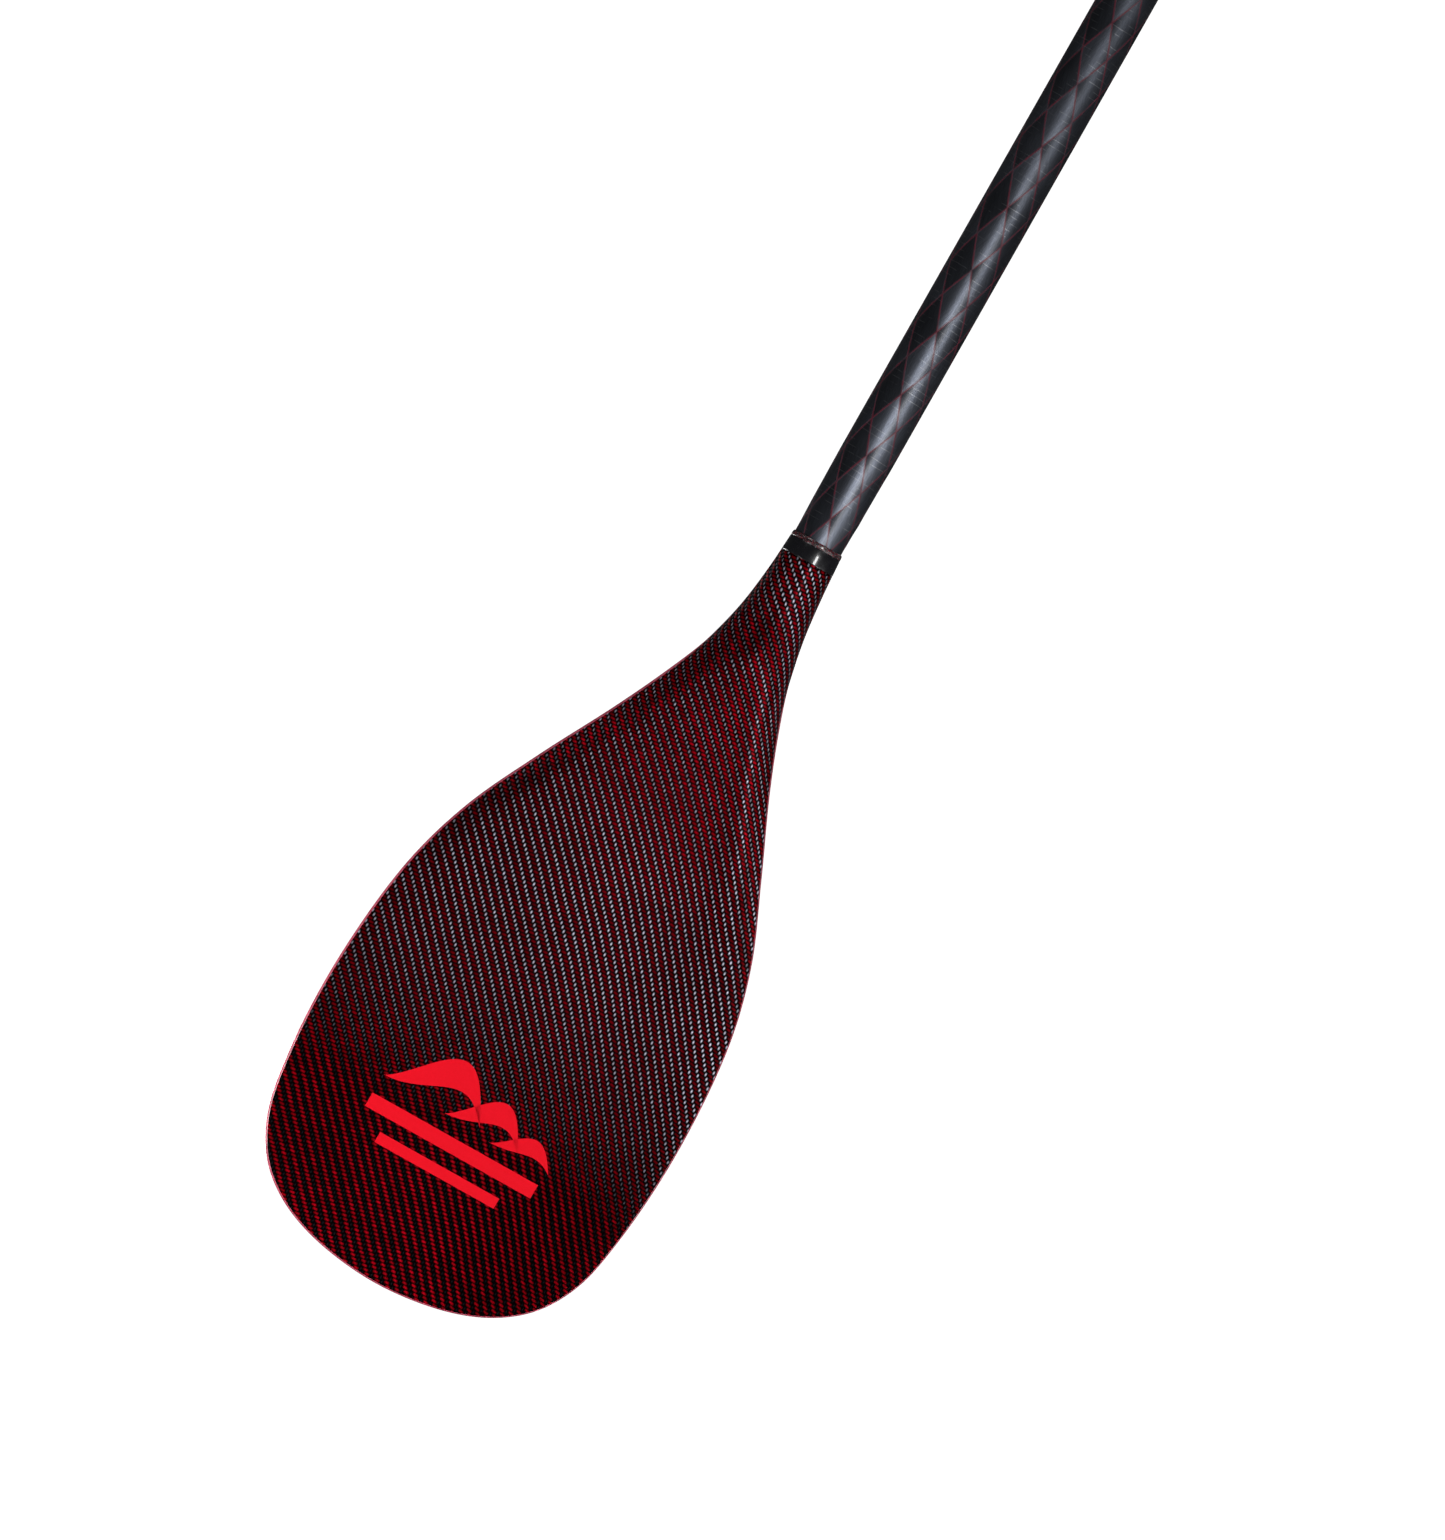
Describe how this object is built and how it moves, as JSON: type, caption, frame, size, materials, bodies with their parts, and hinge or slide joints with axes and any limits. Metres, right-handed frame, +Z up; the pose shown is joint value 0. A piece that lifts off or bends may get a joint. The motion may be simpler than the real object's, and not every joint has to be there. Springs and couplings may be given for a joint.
{
  "type": "single blade paddle",
  "caption": "Stand-up paddle with a raked teardrop blade, telescopic carbon shaft, cam-lever clamp and palm grip.",
  "frame": {"origin": "on the shaft's axis at the height of the lower hand's hold, 480 mm above the mouth of the blade's socket", "axes": "+Z up the shaft to the handle, blade down; -Y is the blade's power face, so the blade leans back towards +Y; X runs across the blade"},
  "size_m": [0.2064, 0.085, 1.7],
  "materials": {
    "blade_weave": "glossy resin over a black and red twill of carbon and aramid",
    "blade_foam": "closed-cell foam, cut surface",
    "inner_laminate": "plain carbon laminate with peel-ply texture",
    "rail_resin": "translucent red resin bead with aramid cord inside",
    "lip_resin": "glossy resin with red and black threads showing",
    "gloss_black": "glossy black lacquer",
    "shaft_carbon": "satin clear coat over dark carbon with red tracer threads",
    "upper_carbon": "satin carbon tube with a wrap-tape pattern and painted height marks",
    "clamp_nylon": "moulded black glass-filled nylon, fine grain",
    "fastener_steel": "turned stainless steel",
    "lever_red": "anodised-look red moulding, slightly worn",
    "pad_rubber": "black rubber with fine ribs",
    "grip_shell": "satin black grip moulding, fine pebble grain"
  },
  "bodies": {
    "blade_and_lower_shaft": {"front_skin": "blade_weave", "back_skin": "blade_weave", "foam_core": "blade_foam", "shear_web": "inner_laminate", "edge_rail": "rail_resin", "socket_tube": "inner_laminate", "socket_lip": "lip_resin", "neck_band": "gloss_black", "lower_shaft": "shaft_carbon", "shaft_stopper": "blade_foam", "clamp_collar": "clamp_nylon", "clamp_cap": "clamp_nylon", "cam_washer": "fastener_steel", "tension_screw": "fastener_steel", "lever_pin": "fastener_steel"},
    "nut": {"tension_nut": "fastener_steel"},
    "lever": {"cam_lever": "lever_red", "lever_pad": "pad_rubber"},
    "upper_shaft": {"upper_tube": "upper_carbon", "guide_plug": "clamp_nylon", "seal_ring": "pad_rubber", "handle_ferrule": "lever_red", "handle_spigot": "inner_laminate", "handle_core": "blade_foam", "handle_front_shell": "grip_shell", "handle_back_shell": "grip_shell"}
  },
  "joints": [
    {"name": "length_slide", "type": "slide", "parent": "blade_and_lower_shaft", "child": "upper_shaft", "axis": [0, 0, 1], "range_m": [0, 0.4]},
    {"name": "lever_hinge", "type": "hinge", "parent": "blade_and_lower_shaft", "child": "lever", "pos_m": [0.0179, 0.0232, 0.505], "axis": [0, 0, 1], "range_deg": [0, 110]},
    {"name": "nut_spin", "type": "hinge", "parent": "blade_and_lower_shaft", "child": "nut", "pos_m": [-0.0123, 0.0232, 0.505], "axis": [1, 0, 0], "continuous": true}
  ]
}
